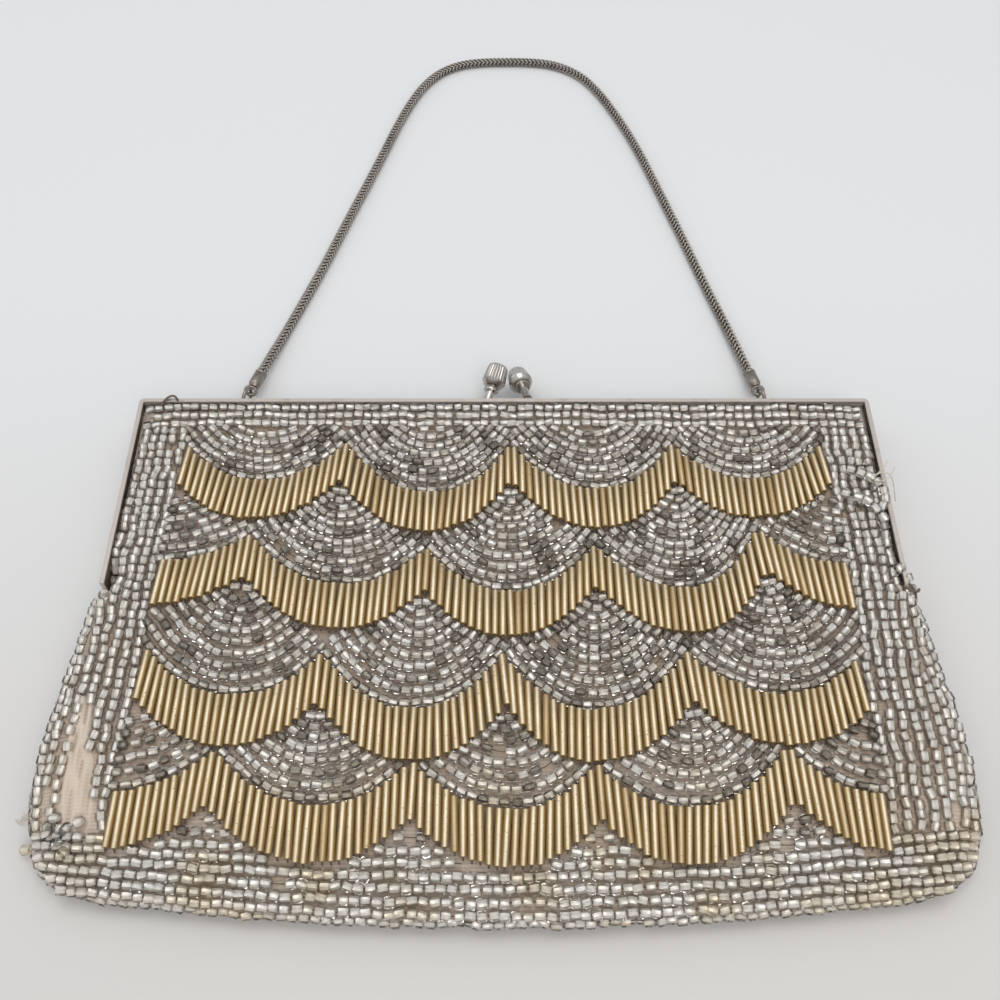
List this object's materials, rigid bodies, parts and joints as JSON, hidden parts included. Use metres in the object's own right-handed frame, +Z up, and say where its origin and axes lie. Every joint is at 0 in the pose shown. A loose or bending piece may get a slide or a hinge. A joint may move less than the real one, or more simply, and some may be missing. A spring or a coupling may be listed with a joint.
{
  "type": "beaded evening purse with a kiss-lock frame and chain",
  "caption": "Flat beaded evening purse with scalloped bands of tube beads, a square metal frame with a kiss-lock clasp, and a woven chain handle.",
  "frame": {"origin": "middle of the footprint, on the surface that the purse lies on", "axes": "+X across the purse, to the right of someone who looks at its beaded front; +Y from the bag's bottom edge towards the frame and the chain; +Z up, out of the beaded front"},
  "size_m": [0.216, 0.2979, 0.0165],
  "materials": {
    "seed_beads_on_cloth": "clear glass seed beads with a silver lining, sewn in close curved rows on ribbed pinkish taupe cloth",
    "tube_beads": "satin pale gold glass tubes, sewn side by side",
    "frame_nickel": "aged nickel plate with fine scratches",
    "clasp_nickel": "turned and polished nickel plate, a little worn",
    "chain_nickel": "woven nickel-plated wire, darkened between the links"
  },
  "bodies": {
    "root": {"beaded_bag": "seed_beads_on_cloth", "tube_bead_band_1": "tube_beads", "tube_bead_band_2": "tube_beads", "tube_bead_band_3": "tube_beads", "tube_bead_band_4": "tube_beads", "frame_front": "frame_nickel", "frame_back": "frame_nickel", "hinge_rivet_left": "frame_nickel", "hinge_rivet_right": "frame_nickel", "clasp_knob_front": "clasp_nickel", "clasp_knob_back": "clasp_nickel", "chain_link_left": "chain_nickel", "chain_link_right": "chain_nickel", "chain_cap_left": "chain_nickel", "chain_cap_right": "chain_nickel", "chain": "chain_nickel"}
  },
  "joints": []
}
